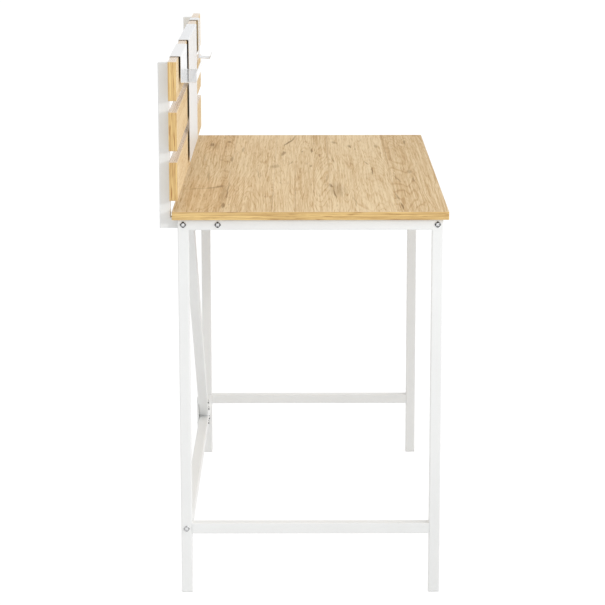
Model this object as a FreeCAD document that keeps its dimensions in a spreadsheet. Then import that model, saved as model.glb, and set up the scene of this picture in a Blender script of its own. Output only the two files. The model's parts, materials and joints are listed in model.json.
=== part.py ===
import FreeCAD, Part
import math
import os
import Sketcher

# A writing desk: an oak-faced top on two welded side frames of square steel tube, a rear
# truss of one stretcher and one diagonal brace, two L-shaped posts that carry three
# slats, and three folded sheet accessories that hang on the top slat and slide along it.
# +X runs along the desk to the right of a person sitting at it, +Y to the rear, +Z up.
# The origin lies on the floor, under the middle of the whole outline.

os.makedirs("parts", exist_ok=True)
doc = FreeCAD.newDocument("WritingDesk")
doc.UndoMode = 0

# Driving dimensions, in millimetres

SIZES = {
    # top
    "board_width": 1000,
    "board_depth": 500,
    "board_thickness": 15,
    "desk_height": 722,
    "band_thickness": 1,
    "band_bevel": 0.5,
    # square tube and side frames
    "tube_size": 20,
    "tube_wall": 1.5,
    "tube_round": 2,
    "frame_inset": 10,
    "low_rail_height": 114,
    # plugs in the open tube ends
    "foot_thickness": 2,
    "cap_thickness": 1.5,
    "foot_stem_length": 14,
    "cap_stem_length": 8,
    "plug_wall": 2,
    "plug_clearance": 0.15,
    "plug_bevel": 0.8,
    # slats and the posts that carry them
    "slat_thickness": 15,
    "slat_height": 70,
    "slat_gap": 20,
    "post_to_board_gap": 3.5,
    "post_below_slat_top": 6,
    "post_foot_length": 124,
    "post_foot_bolt_inset": 18,
    # rear diagonal brace and its two threaded gusset plates
    "brace_half_run_share": 0.3,
    "gusset_thickness": 3,
    "gusset_margin": 10,
    "gusset_half_width": 8.5,
    "gusset_round": 3,
    "gusset_bolt_near": 26,
    "gusset_bolt_far": 56,
    "gusset_rail_bolt_inner": 32,
    "gusset_rail_bolt_outer": 8,
    # frame bolts, their nuts and the welded nut plates in the rail ends
    "frame_bolt_radius": 3,
    "frame_bolt_head_radius": 5.5,
    "frame_bolt_head_height": 3,
    "frame_bolt_tail": 3,
    "frame_bolt_hole_radius": 3.3,
    "thread_clearance": 0.05,
    "nut_plate_thickness": 8,
    "nut_plate_clearance": 0.1,
    "frame_nut_half_width": 5,
    "frame_nut_height": 5,
    # gusset bolts
    "gusset_bolt_radius": 2.5,
    "gusset_bolt_head_radius": 5,
    "gusset_bolt_head_height": 2.6,
    "gusset_bolt_tail": 1,
    "gusset_bolt_hole_radius": 2.75,
    # wood screws that hold the slats and the top from inside the tubes
    "wood_screw_radius": 2,
    "wood_screw_head_radius": 4,
    "wood_screw_head_height": 2.2,
    "wood_screw_bite": 11,
    "wood_screw_hole_radius": 2.25,
    "wood_screw_access_radius": 4.8,
    "slat_screw_spacing": 32,
    "side_screw_spacing_share": 0.6,
    "long_rail_screw_spacing_share": 0.5,
    # bevel of every pan head, as a share of its height
    "head_bevel_share": 0.6,
    # folded sheet accessories
    "sheet_thickness": 1.2,
    "sheet_bend": 0.8,
    "sheet_corner": 4,
    "hang_clearance": 0.3,
    "hang_top_gap": 0.9,
    "hang_front_gap": 3.3,
    "hang_flange_drop": 30,
    # memo board
    "memo_width": 330,
    "memo_height": 240,
    "memo_centre_share": 0.054,
    # pen tray
    "tray_width": 222,
    "tray_centre_share": -0.305,
    "tray_height": 49,
    "tray_inside_depth": 27,
    "tray_lip_height": 18,
    # hook
    "hook_width": 46,
    "hook_centre_share": 0.344,
    "hook_height": 82,
    "hook_reach": 22,
    "hook_fall": 2,
    "hook_tip_rise": 11,
    "hook_tip_lean": 3,
    # one overrun for every cut
    "cut_overrun": 1,
}

# Places and lengths that follow from the driving dimensions

PLACES = {
    "half_width": "Sizes.board_width / 2",
    "half_tube": "Sizes.tube_size / 2",
    "rear_overhang": "Sizes.post_to_board_gap + Sizes.tube_size",
    "board_front": "-(Sizes.board_depth + Places.rear_overhang) / 2",
    "board_rear": "Places.board_front + Sizes.board_depth",
    "board_middle": "Places.board_front + Sizes.board_depth / 2",
    "rail_top": "Sizes.desk_height - Sizes.board_thickness",
    "rail_middle": "Places.rail_top - Places.half_tube",
    "rail_under": "Places.rail_top - Sizes.tube_size",
    "low_rail_middle": "Sizes.low_rail_height + Places.half_tube",
    "low_rail_top": "Sizes.low_rail_height + Sizes.tube_size",
    "frame_front": "Places.board_front + Sizes.frame_inset",
    "frame_rear": "Places.board_rear - Sizes.frame_inset",
    "front_leg_y": "Places.frame_front + Places.half_tube",
    "rear_leg_y": "Places.frame_rear - Places.half_tube",
    "frame_outside": "Places.half_width - Sizes.frame_inset",
    "frame_inside": "Places.frame_outside - Sizes.tube_size",
    "leg_x": "Places.frame_outside - Places.half_tube",
    "post_inside": "Places.frame_inside - Sizes.tube_size",
    "post_x": "Places.frame_inside - Places.half_tube",
    "post_front": "Places.board_rear + Sizes.post_to_board_gap",
    "post_y": "Places.post_front + Places.half_tube",
    "post_rear": "Places.post_front + Sizes.tube_size",
    "post_foot_front": "Places.post_rear - Sizes.post_foot_length",
    "post_foot_bolt_y": "Places.post_foot_front + Sizes.post_foot_bolt_inset",
    "slat_front": "Places.post_front - Sizes.slat_thickness",
    "slat_middle": "Places.post_front - Sizes.slat_thickness / 2",
    "slat_pitch": "Sizes.slat_height + Sizes.slat_gap",
    "low_slat_z": "Sizes.desk_height + Sizes.slat_gap + Sizes.slat_height / 2",
    "middle_slat_z": "Places.low_slat_z + Places.slat_pitch",
    "top_slat_z": "Places.middle_slat_z + Places.slat_pitch",
    "slat_top": "Places.top_slat_z + Sizes.slat_height / 2",
    "post_top": "Places.slat_top - Sizes.post_below_slat_top",
    "brace_half_run": "Sizes.board_width * Sizes.brace_half_run_share",
    "brace_rise": "Places.rail_under - Places.low_rail_top",
    "brace_lean": "atan(2 * Places.brace_half_run / Places.brace_rise)",
    "brace_length": "sqrt(4 * Places.brace_half_run ^ 2 + Places.brace_rise ^ 2)",
    "brace_cut": "Sizes.tube_size * 2 * Places.brace_half_run / Places.brace_rise",
    "plug_stem": "Sizes.tube_size - 2 * Sizes.tube_wall - 2 * Sizes.plug_clearance",
    "nut_plate_side": "Sizes.tube_size - 2 * Sizes.tube_wall - 2 * Sizes.nut_plate_clearance",
    "long_rail_screw_x": "Sizes.board_width * Sizes.long_rail_screw_spacing_share / 2",
    "side_screw_reach": "Sizes.board_depth * Sizes.side_screw_spacing_share / 2",
    "hang_under": "Places.slat_top + Sizes.hang_top_gap",
    "hang_top": "Places.hang_under + Sizes.sheet_thickness",
    "hang_rear_inside": "Places.post_front + Sizes.hang_clearance",
    "hang_rear": "Places.hang_rear_inside + Sizes.sheet_thickness",
    "hang_front_inside": "Places.slat_front - Sizes.hang_front_gap",
    "hang_front": "Places.hang_front_inside - Sizes.sheet_thickness",
    "memo_centre": "Sizes.board_width * Sizes.memo_centre_share",
    "tray_centre": "Sizes.board_width * Sizes.tray_centre_share",
    "hook_centre": "Sizes.board_width * Sizes.hook_centre_share",
}


def fill_sheet(name, rows, prefix):
    sheet = doc.addObject("Spreadsheet::Sheet", name)
    for row, (alias, content) in enumerate(rows.items(), start=1):
        cell = "B" + str(row)
        sheet.set("A" + str(row), alias)
        sheet.set(cell, prefix + str(content))
        sheet.setAlias(cell, alias)
    doc.recompute()
    return sheet


sizes = fill_sheet("Sizes", SIZES, "")
places = fill_sheet("Places", {alias: text.replace("Places.", "") for alias, text in PLACES.items()}, "=")


def value(expression):
    result = places.evalExpression(expression)
    return float(getattr(result, "Value", result))


def plus(*terms):
    return " + ".join("(" + term + ")" for term in terms)


def minus(expression):
    return "-(" + expression + ")"


# Helpers for bodies, sketches and features

kept = []
HALF_TURN = 180
NUT_SIDES = 6
# Small screws and their holes are drawn with flats, so that the whole desk stays light.
HEAD_SIDES = 12
SHANK_SIDES = {"frame_bolt": 8, "gusset_bolt": 6, "wood_screw": 6}
ACCESS_SIDES = 12

FACING = {
    # the sketch plane that a screw along each axis stands on, and the sense of its normal
    "x": ("YZ", 1),
    "y": ("XZ", -1),
    "z": ("XY", 1),
}


def new_body(label, base=("0", "0", "0"), axis=None, angle=None):
    """A body at its own place; angle is an expression in degrees about axis."""
    body = doc.addObject("PartDesign::Body", label)
    body.Label = label
    if axis is not None:
        body.Placement = FreeCAD.Placement(FreeCAD.Vector(), FreeCAD.Rotation(FreeCAD.Vector(*axis), 1))
        body.setExpression("Placement.Rotation.Angle", angle)
    for letter, expression in zip("xyz", base):
        body.setExpression("Placement.Base." + letter, expression)
    return body


def keep(body):
    kept.append(body)
    return body


def attach(body, item, plane, spot):
    """Put a sketch or a primitive on one of the body's own planes, spot away from its origin."""
    support = [origin for origin in body.Origin.OriginFeatures if origin.Role == plane + "_Plane"][0]
    item.AttachmentSupport = (support, [""])
    item.MapMode = "FlatFace"
    for letter, expression in zip("xyz", spot):
        item.setExpression("AttachmentOffset.Base." + letter, expression)


def new_sketch(body, plane, lift="0"):
    """A sketch on one of the body's own planes, moved along the plane's normal by lift."""
    sketch = body.newObject("Sketcher::SketchObject", body.Name + "_sketch")
    attach(body, sketch, plane, ("0", "0", lift))
    return sketch


def pin_point(sketch, geometry, end, point):
    """Hold one vertex by its two distances from the sketch's origin."""
    for kind, expression in zip(("DistanceX", "DistanceY"), point):
        constraint = Sketcher.Constraint(kind, -1, 1, geometry, end, value(expression))
        index = sketch.addConstraint(constraint)
        sketch.setExpression("Constraints[" + str(index) + "]", expression)


def outline(sketch, points):
    """A closed outline of straight lines through points given as pairs of expressions."""
    corners = [FreeCAD.Vector(value(x), value(y), 0) for x, y in points]
    first = sketch.GeometryCount
    for start, end in zip(corners, corners[1:] + corners[:1]):
        sketch.addGeometry(Part.LineSegment(start, end))
    for step in range(len(points)):
        following = first + (step + 1) % len(points)
        sketch.addConstraint(Sketcher.Constraint("Coincident", first + step, 2, following, 1))
    for step, point in enumerate(points):
        pin_point(sketch, first + step, 1, point)


def rectangle(sketch, half_x, half_y):
    outline(sketch, [(minus(half_x), minus(half_y)), (half_x, minus(half_y)),
                     (half_x, half_y), (minus(half_x), half_y)])


def prism(body, kind, plane, spot, radius, height, sides, flats=False):
    """Add or cut a regular prism; its flats, or else its corners, lie at the radius.

    spot is the middle of its lower end on the plane, height runs along the plane's normal.
    """
    before = body.Shape.Volume if kind == "Subtractive" else None
    feature = body.newObject("PartDesign::" + kind + "Prism", body.Name + "_prism")
    attach(body, feature, plane, spot)
    feature.Polygon = sides
    reach = "(" + radius + ")" + (" / cos(" + str(HALF_TURN / sides) + ")" if flats else "")
    feature.setExpression("Circumradius", reach)
    feature.setExpression("Height", height)
    feature.Refine = False
    doc.recompute()
    if before is not None and not body.Shape.Volume < before:
        raise RuntimeError(body.Label + ": a hole removed nothing")
    return feature


def hole(body, plane, centre, low, height, kind):
    """A straight hole for one kind of screw, from the level low up along the plane's normal."""
    prism(body, "Subtractive", plane, (centre[0], centre[1], low), "Sizes." + kind + "_hole_radius", height,
          SHANK_SIDES[kind], flats=True)


def through_hole(body, plane, centre, half_depth, kind):
    """A hole through everything that lies within half_depth of the plane, both ways."""
    reach = plus(half_depth, "Sizes.cut_overrun")
    hole(body, plane, centre, minus(reach), plus(reach, reach), kind)


def access_hole(body, cross_axis, at):
    """A wide hole for a screw head, through the tube wall on the axis's high side only."""
    plane, normal = FACING[cross_axis]
    reach = "Places.half_tube + Sizes.cut_overrun"
    low = "0" if normal > 0 else minus(reach)
    prism(body, "Subtractive", plane, ("0", at, low), "Sizes.wood_screw_access_radius", reach, ACCESS_SIDES,
          flats=True)


def pad(body, sketch, length, both_ways=False, backwards=False):
    feature = body.newObject("PartDesign::Pad", body.Name + "_pad")
    feature.Profile = sketch
    feature.setExpression("Length", length)
    feature.Reversed = backwards
    if both_ways:
        feature.SideType = "Symmetric"
    doc.recompute()
    return feature


def pocket(body, sketch):
    """Cut through everything on both sides of the sketch."""
    before = body.Shape.Volume
    feature = body.newObject("PartDesign::Pocket", body.Name + "_pocket")
    feature.Profile = sketch
    feature.Type = "ThroughAll"
    feature.SideType = "Symmetric"
    doc.recompute()
    if not body.Shape.Volume < before:
        raise RuntimeError(body.Label + ": a pocket removed nothing")


def dress(body, base, kind, size, wanted):
    """Put a Fillet or a Chamfer on those edges of a feature that the test picks."""
    names = ["Edge" + str(index) for index, edge in enumerate(base.Shape.Edges, start=1) if wanted(edge)]
    if not names:
        raise RuntimeError(body.Label + ": no edge to dress")
    feature = body.newObject("PartDesign::" + kind, body.Name + "_" + kind.lower())
    feature.Base = (base, names)
    feature.setExpression("Radius" if kind == "Fillet" else "Size", size)
    doc.recompute()
    return feature


def fillet(body, base, radius, wanted):
    return dress(body, base, "Fillet", radius, wanted)


def chamfer(body, base, size, wanted):
    return dress(body, base, "Chamfer", size, wanted)


LEAST_COSINE = math.cos(math.radians(1))


def runs_along(edge, letter):
    """True for a straight edge along one axis of its body."""
    if len(edge.Vertexes) != 2 or not isinstance(edge.Curve, (Part.Line, Part.LineSegment)):
        return False
    start, end = (vertex.Point for vertex in edge.Vertexes)
    return abs(getattr(end - start, letter)) > (end - start).Length * LEAST_COSINE


def near(first, second):
    return math.isclose(first, second, abs_tol=value("Sizes.plug_clearance") / 2)


# Square tube

TUBE_TURNS = {
    # how a tube's own z axis is turned on to an axis of the desk, and which of the desk's
    # coordinates the tube's two cross places give
    "z": (None, None, (0, 1)),
    "y": ((1, 0, 0), "-90", (0, 2)),
    "x": ((0, 1, 0), "90", (1, 2)),
}


def tube(label, along, cross, start, end, holes=(), mitres=()):
    """Square tube whose length coordinate is the desk's own coordinate along its axis.

    Each hole is (cross axis, place along the tube, kind of screw), through both walls. A
    wood screw sits inside the tube, so the wall on the axis's high side lets its head by.
    Each mitre is (which end, side kept longest, rise of the cut across the tube).
    """
    axis, angle, slots = TUBE_TURNS[along]
    base = ["0", "0", "0"]
    for slot, expression in zip(slots, cross):
        base[slot] = expression
    body = new_body(label, base, axis, angle)
    return shape_tube(body, start, end, holes, mitres)


def shape_tube(body, start, end, holes, mitres):
    profile = new_sketch(body, "XY", start)
    rectangle(profile, "Places.half_tube", "Places.half_tube")
    bore = "Places.half_tube - Sizes.tube_wall"
    rectangle(profile, bore, bore)
    bar = pad(body, profile, plus(end, minus(start)))
    half = value("Places.half_tube")

    def outer_corner(edge):
        point = edge.Vertexes[0].Point
        return runs_along(edge, "z") and near(abs(point.x), half) and near(abs(point.y), half)

    fillet(body, bar, "Sizes.tube_round", outer_corner)
    for plane, which, side, rise in mitres:
        cut_mitre(body, plane, start if which == "start" else end, which, side, rise)
    for cross_axis, at, kind in holes:
        through_hole(body, FACING[cross_axis][0], ("0", at), "Places.half_tube", kind)
        if kind == "wood_screw":
            access_hole(body, cross_axis, at)
    return keep(body)


def cut_mitre(body, plane, level, which, side, rise):
    """Take the wedge off a tube end; side is the side of the tube that stays whole."""
    inward = rise if which == "start" else minus(rise)
    outward = "-Sizes.cut_overrun" if which == "start" else "Sizes.cut_overrun"
    whole = "Places.half_tube" if side > 0 else minus("Places.half_tube")
    short = minus(whole)
    beyond = plus(short, "Sizes.cut_overrun" if side < 0 else "-Sizes.cut_overrun")
    sketch = new_sketch(body, plane)
    outline(sketch, [(whole, level), (whole, plus(level, outward)), (beyond, plus(level, outward)),
                     (beyond, plus(level, inward)), (short, plus(level, inward))])
    pocket(body, sketch)


SIDES = {"left": -1, "right": 1}


def on_side(sign, expression):
    return expression if sign > 0 else minus(expression)


def side_frame(side, sign):
    """Two legs mitred to the top rail, and a lower rail butted between them."""
    x = on_side(sign, "Places.leg_x")
    tube(side + "_front_leg", "z", (x, "Places.front_leg_y"), "Sizes.foot_thickness", "Places.rail_top",
         holes=[("x", "Places.rail_middle", "frame_bolt")],
         mitres=[("YZ", "end", -1, "Sizes.tube_size")])
    tube(side + "_rear_leg", "z", (x, "Places.rear_leg_y"), "Sizes.foot_thickness", "Places.rail_top",
         holes=[("x", "Places.rail_middle", "frame_bolt"), ("x", "Places.low_rail_middle", "frame_bolt")],
         mitres=[("YZ", "end", 1, "Sizes.tube_size")])
    screws = [("y", "Places.board_middle - Places.side_screw_reach", "wood_screw"),
              ("y", "Places.board_middle + Places.side_screw_reach", "wood_screw")]
    bolts = [("x", "Places.front_leg_y", "frame_bolt"), ("x", "Places.post_foot_bolt_y", "frame_bolt"),
             ("x", "Places.rear_leg_y", "frame_bolt")]
    tube(side + "_top_rail", "y", (x, "Places.rail_middle"), "Places.frame_front", "Places.frame_rear",
         holes=screws + bolts,
         mitres=[("YZ", "start", -1, "Sizes.tube_size"), ("YZ", "end", -1, "Sizes.tube_size")])
    tube(side + "_lower_rail", "y", (x, "Places.low_rail_middle"),
         "Places.frame_front + Sizes.tube_size", "Places.frame_rear - Sizes.tube_size")


# The gusset bolts in the long rails, from the middle of the desk

RAIL_BOLTS = ["Places.brace_half_run - Sizes.gusset_rail_bolt_inner",
              "Places.brace_half_run + Sizes.gusset_rail_bolt_outer"]


def long_rails():
    """Three rails that join the side frames, with welded nut plates in their ends."""
    screws = [("x", on_side(sign, "Places.long_rail_screw_x"), "wood_screw") for sign in SIDES.values()]
    gusset_top = [("y", minus(text), "gusset_bolt") for text in RAIL_BOLTS]
    gusset_low = [("y", text, "gusset_bolt") for text in RAIL_BOLTS]
    tube("front_rail", "x", ("Places.front_leg_y", "Places.rail_middle"),
         "-Places.frame_inside", "Places.frame_inside", holes=screws)
    tube("rear_rail", "x", ("Places.rear_leg_y", "Places.rail_middle"),
         "-Places.post_inside", "Places.post_inside", holes=screws + gusset_top)
    tube("rear_stretcher", "x", ("Places.rear_leg_y", "Places.low_rail_middle"),
         "-Places.frame_inside", "Places.frame_inside", holes=gusset_low)


def nut_plates(label, y, z, reach):
    """A threaded plate welded flush inside each end of one long rail."""
    body = new_body(label, ("0", y, z))
    for sign in (-1, 1):
        sketch = new_sketch(body, "YZ", on_side(sign, reach))
        half = "Places.nut_plate_side / 2"
        rectangle(sketch, half, half)
        pad(body, sketch, "Sizes.nut_plate_thickness", backwards=sign > 0)
    bore = "Sizes.frame_bolt_radius + Sizes.thread_clearance"
    prism(body, "Subtractive", "YZ", ("0", "0", minus(reach)), bore, plus(reach, reach),
          SHANK_SIDES["frame_bolt"])
    return keep(body)


def brace():
    """Diagonal tube from the lower stretcher to the rear rail, its ends cut level."""
    body = new_body("rear_brace", ("Places.brace_half_run", "Places.rear_leg_y", "Places.low_rail_top"),
                    (0, 1, 0), "-Places.brace_lean")
    half_cut = "Places.brace_cut / 2"
    holes = []
    for at in ("Sizes.gusset_bolt_near", "Sizes.gusset_bolt_far"):
        holes.append(("y", at, "gusset_bolt"))
        holes.append(("y", plus("Places.brace_length", minus(at)), "gusset_bolt"))
    shape_tube(body, minus(half_cut), plus("Places.brace_length", half_cut), holes,
               [("XZ", "start", 1, "Places.brace_cut"), ("XZ", "end", -1, "Places.brace_cut")])


def along_brace(distance, across="0"):
    """X and Z of a point on the brace, from where its middle line meets the stretcher."""
    lean = "Places.brace_lean"
    x = "-(" + distance + ") * sin(" + lean + ") + (" + across + ") * cos(" + lean + ")"
    z = "(" + distance + ") * cos(" + lean + ") + (" + across + ") * sin(" + lean + ")"
    return x, z


def gusset_bolt_points():
    """The four bolts of the lower gusset, from the foot of the brace."""
    rail_z = "-Places.half_tube"
    return [("-Sizes.gusset_rail_bolt_inner", rail_z), ("Sizes.gusset_rail_bolt_outer", rail_z),
            along_brace("Sizes.gusset_bolt_near"), along_brace("Sizes.gusset_bolt_far")]


def gusset(label, x, z, turn):
    """Flat plate behind a brace joint, rounded at its corners, with four threaded holes."""
    body = new_body(label, (x, "Places.frame_rear", z), (0, 1, 0), turn)
    margin = "Sizes.gusset_margin"
    half = "Sizes.gusset_half_width"
    end = plus("Sizes.gusset_bolt_far", margin)
    low = "-Places.half_tube - Sizes.gusset_half_width"
    high = "-Places.half_tube + Sizes.gusset_half_width"
    left = "-Sizes.gusset_rail_bolt_inner - Sizes.gusset_margin"
    right = "Sizes.gusset_rail_bolt_outer + Sizes.gusset_margin"
    sketch = new_sketch(body, "XZ")
    outline(sketch, [(left, low), (right, low), (right, high), along_brace(end, half),
                     along_brace(end, minus(half)), (left, high)])
    plate = pad(body, sketch, "Sizes.gusset_thickness", backwards=True)
    fillet(body, plate, "Sizes.gusset_round", lambda edge: runs_along(edge, "y"))
    for x_spot, z_spot in gusset_bolt_points():
        prism(body, "Subtractive", "XZ", (x_spot, z_spot, "-2 * Sizes.gusset_thickness"),
              "Sizes.gusset_bolt_radius + Sizes.thread_clearance", "3 * Sizes.gusset_thickness",
              SHANK_SIDES["gusset_bolt"])
    return keep(body)


# Plugs

def plug(label, x, y, z, flange, stem_length, turn=None):
    """Moulded square plug: a flange as wide as the tube and a hollow stem inside it.

    Upright, the flange lies below z = 0 of the body and the stem above it.
    """
    body = new_body(label, (x, y, z), (1, 0, 0) if turn else None, turn)
    sketch = new_sketch(body, "XY")
    rectangle(sketch, "Places.half_tube", "Places.half_tube")
    disc = pad(body, sketch, flange, backwards=True)
    depth = value(flange)

    def shows(edge):
        return runs_along(edge, "z") or all(near(vertex.Point.z, -depth) for vertex in edge.Vertexes)

    chamfer(body, disc, "Sizes.plug_bevel", shows)
    sketch = new_sketch(body, "XY")
    stem = "Places.plug_stem / 2"
    rectangle(sketch, stem, stem)
    hollow = plus(stem, "-Sizes.plug_wall")
    rectangle(sketch, hollow, hollow)
    pad(body, sketch, stem_length)
    return keep(body)


def feet_and_caps():
    for side, sign in SIDES.items():
        leg = on_side(sign, "Places.leg_x")
        post = on_side(sign, "Places.post_x")
        for end, y in (("front", "Places.front_leg_y"), ("rear", "Places.rear_leg_y")):
            plug(side + "_" + end + "_foot", leg, y, "Sizes.foot_thickness", "Sizes.foot_thickness",
                 "Sizes.foot_stem_length")
        plug(side + "_post_cap", post, "Places.post_y", "Places.post_top", "Sizes.cap_thickness",
             "Sizes.cap_stem_length", "180")
        plug(side + "_post_foot_cap", post, "Places.post_foot_front", "Places.rail_middle",
             "Sizes.cap_thickness", "Sizes.cap_stem_length", "-90")


# Posts

SLAT_LEVELS = {"lower": "Places.low_slat_z", "middle": "Places.middle_slat_z", "upper": "Places.top_slat_z"}
SCREW_OFFSETS = ("-Sizes.slat_screw_spacing / 2", "Sizes.slat_screw_spacing / 2")


def slat_screw_levels():
    return [plus(level, offset) for level in SLAT_LEVELS.values() for offset in SCREW_OFFSETS]


def post(side, sign):
    """An upright and a foot that lies against the side frame's top rail, mitred together."""
    x = on_side(sign, "Places.post_x")
    tube(side + "_post", "z", (x, "Places.post_y"), "Places.rail_under", "Places.post_top",
         holes=[("y", level, "wood_screw") for level in slat_screw_levels()],
         mitres=[("YZ", "start", 1, "Sizes.tube_size")])
    tube(side + "_post_foot", "y", (x, "Places.rail_middle"), "Places.post_foot_front", "Places.post_rear",
         holes=[("x", "Places.post_foot_bolt_y", "frame_bolt"), ("x", "Places.rear_leg_y", "frame_bolt")],
         mitres=[("YZ", "end", 1, "Sizes.tube_size")])


# Boards and their edge bands

def panel(label, middle, half_width, thickness, upright=False):
    """The core of a board, lying flat, or standing with its faces towards the desk's front."""
    body = new_body(label, middle)
    sketch = new_sketch(body, "XZ" if upright else "XY")
    rectangle(sketch, "Places.half_width - Sizes.band_thickness", plus(half_width, "-Sizes.band_thickness"))
    pad(body, sketch, thickness, both_ways=True)
    return keep(body)


def pilot_holes(body, plane, half_thick, points):
    """Blind holes for the wood screws, from the board's face on the plane's low side."""
    for point in points:
        hole(body, plane, point, plus(minus(half_thick), "-Sizes.cut_overrun"),
             "Sizes.wood_screw_bite + 2 * Sizes.cut_overrun", "wood_screw")


def band(label, place, along, length, half_width, outward):
    """A thin strip glued on a board's edge, with its two long outer corners bevelled.

    place is the middle of the glued face, along the axis of the strip, and outward the
    axis and sense in which the strip faces.
    """
    body = new_body(label, place)
    plane = {"x": "YZ", "y": "XZ", "z": "XY"}[along]
    letter, sign = outward
    sketch = new_sketch(body, plane)
    thick = on_side(sign, "Sizes.band_thickness")
    corners = [("0", minus(half_width)), (thick, minus(half_width)), (thick, half_width), ("0", half_width)]
    if plane.lower().index(letter) == 1:
        corners = [(second, first) for first, second in corners]
    outline(sketch, corners)
    strip = pad(body, sketch, length, both_ways=True)
    edge_place = sign * value("Sizes.band_thickness")

    def shows(edge):
        return runs_along(edge, along) and near(getattr(edge.Vertexes[0].Point, letter), edge_place)

    chamfer(body, strip, "Sizes.band_bevel", shows)
    return body


def desktop():
    half_thick = "Sizes.board_thickness / 2"
    level = plus("Places.rail_top", half_thick)
    board = panel("desktop", ("0", "Places.board_middle", level), "Sizes.board_depth / 2",
                  "Sizes.board_thickness")
    points = [(x, plus(y, minus("Places.board_middle"))) for x, y in desktop_screw_points()]
    pilot_holes(board, "XY", half_thick, points)
    core_x = plus("Places.half_width", "-Sizes.band_thickness")
    core_depth = "Sizes.board_depth - 2 * Sizes.band_thickness"
    front = "Places.board_front + Sizes.band_thickness"
    rear = "Places.board_rear - Sizes.band_thickness"
    keep(band("desktop_front_band", ("0", front, level), "x", "Sizes.board_width", half_thick, ("y", -1)))
    keep(band("desktop_rear_band", ("0", rear, level), "x", "Sizes.board_width", half_thick, ("y", 1)))
    for side, sign in SIDES.items():
        keep(band("desktop_" + side + "_band", (on_side(sign, core_x), "Places.board_middle", level), "y",
                  core_depth, half_thick, ("x", sign)))


def slat(name, level):
    half_thick = "Sizes.slat_thickness / 2"
    half_height = "Sizes.slat_height / 2"
    board = panel(name + "_slat", ("0", "Places.slat_middle", level), half_height, "Sizes.slat_thickness",
                  upright=True)
    points = [(on_side(sign, "Places.post_x"), offset) for sign in SIDES.values() for offset in SCREW_OFFSETS]
    pilot_holes(board, "XZ", half_thick, points)
    core_x = plus("Places.half_width", "-Sizes.band_thickness")
    core_z = plus(half_height, "-Sizes.band_thickness")
    strips = []
    for word, sign in (("low", -1), ("high", 1)):
        place = ("0", "Places.slat_middle", plus(level, on_side(sign, core_z)))
        strips.append(band(name + "_band_" + word, place, "x", "Sizes.board_width", half_thick, ("z", sign)))
    for word, sign in SIDES.items():
        place = (on_side(sign, core_x), "Places.slat_middle", level)
        strips.append(band(name + "_band_" + word, place, "z", plus(core_z, core_z), half_thick, ("x", sign)))
    group = doc.addObject("Part::Compound", name + "_slat_bands")
    group.Links = strips
    keep(group)


# Screws, bolts and nuts

def fasteners(body, along, level, pointing, kind, rows):
    """Pan-headed screws side by side, their heads seated at one level of one axis.

    pointing is the sense of the shanks along the axis, kind the prefix of the sizes, and
    each row is (first place, second place, shank length).
    """
    plane, normal = FACING[along]
    lift = on_side(normal, level)
    upwards = pointing * normal > 0
    height = "Sizes." + kind + "_head_height"
    for first, second, shank in rows:
        seat = plus(lift, minus(height)) if upwards else lift
        heads = prism(body, "Additive", plane, (first, second, seat), "Sizes." + kind + "_head_radius",
                      height, HEAD_SIDES)
    outer = value(level) - pointing * value(height)

    def round_the_top(edge):
        return all(near(getattr(vertex.Point, along), outer) for vertex in edge.Vertexes)

    chamfer(body, heads, height + " * Sizes.head_bevel_share", round_the_top)
    for first, second, shank in rows:
        seat = lift if upwards else plus(lift, minus(shank))
        prism(body, "Additive", plane, (first, second, seat), "Sizes." + kind + "_radius", shank,
              SHANK_SIDES[kind])
    return keep(body)


def frame_bolts(side, sign):
    """Four bolts through one side frame: two rails, the post's foot and the stretcher."""
    into_plate = "Sizes.nut_plate_thickness + Sizes.frame_bolt_tail"
    into_nut = "Sizes.frame_nut_height + Sizes.frame_bolt_tail"
    rows = [("Places.front_leg_y", "Places.rail_middle", plus("Sizes.tube_size", into_plate)),
            ("Places.rear_leg_y", "Places.rail_middle", plus("2 * Sizes.tube_size", into_plate)),
            ("Places.post_foot_bolt_y", "Places.rail_middle", plus("2 * Sizes.tube_size", into_nut)),
            ("Places.rear_leg_y", "Places.low_rail_middle", plus("Sizes.tube_size", into_plate))]
    seat = on_side(sign, "Places.frame_outside")
    fasteners(new_body(side + "_frame_bolts"), "x", seat, -sign, "frame_bolt", rows)


def post_foot_nuts():
    """One nut on the inner wall of each post's foot, on the foot's own bolt."""
    body = new_body("post_foot_nuts")
    spots = []
    for sign in SIDES.values():
        inner = on_side(sign, "Places.post_inside")
        low = plus(inner, "-Sizes.frame_nut_height") if sign > 0 else inner
        spots.append(("Places.post_foot_bolt_y", "Places.rail_middle", low))
    for spot in spots:
        prism(body, "Additive", "YZ", spot, "Sizes.frame_nut_half_width", "Sizes.frame_nut_height", NUT_SIDES,
              flats=True)
    for spot in spots:
        prism(body, "Subtractive", "YZ", spot, "Sizes.frame_bolt_radius + Sizes.thread_clearance",
              "Sizes.frame_nut_height", SHANK_SIDES["frame_bolt"])
    keep(body)


def gusset_fasteners(level, x, z, turn):
    """Four bolts from the front through the tubes and into the plate's threads."""
    place = (x, "Places.frame_rear", z)
    shank = plus("Sizes.tube_size", "Sizes.gusset_thickness", "Sizes.gusset_bolt_tail")
    rows = [(x_spot, z_spot, shank) for x_spot, z_spot in gusset_bolt_points()]
    bolt_body = new_body(level + "_gusset_bolts", place, (0, 1, 0), turn)
    fasteners(bolt_body, "y", "-Sizes.tube_size", 1, "gusset_bolt", rows)


def slat_screws(side, sign):
    """Two screws for each slat, seated inside the post on its front wall."""
    shank = plus("Sizes.tube_wall", "Sizes.wood_screw_bite")
    rows = [(on_side(sign, "Places.post_x"), level, shank) for level in slat_screw_levels()]
    seat = "Places.post_front + Sizes.tube_wall"
    fasteners(new_body(side + "_slat_screws"), "y", seat, -1, "wood_screw", rows)


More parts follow.
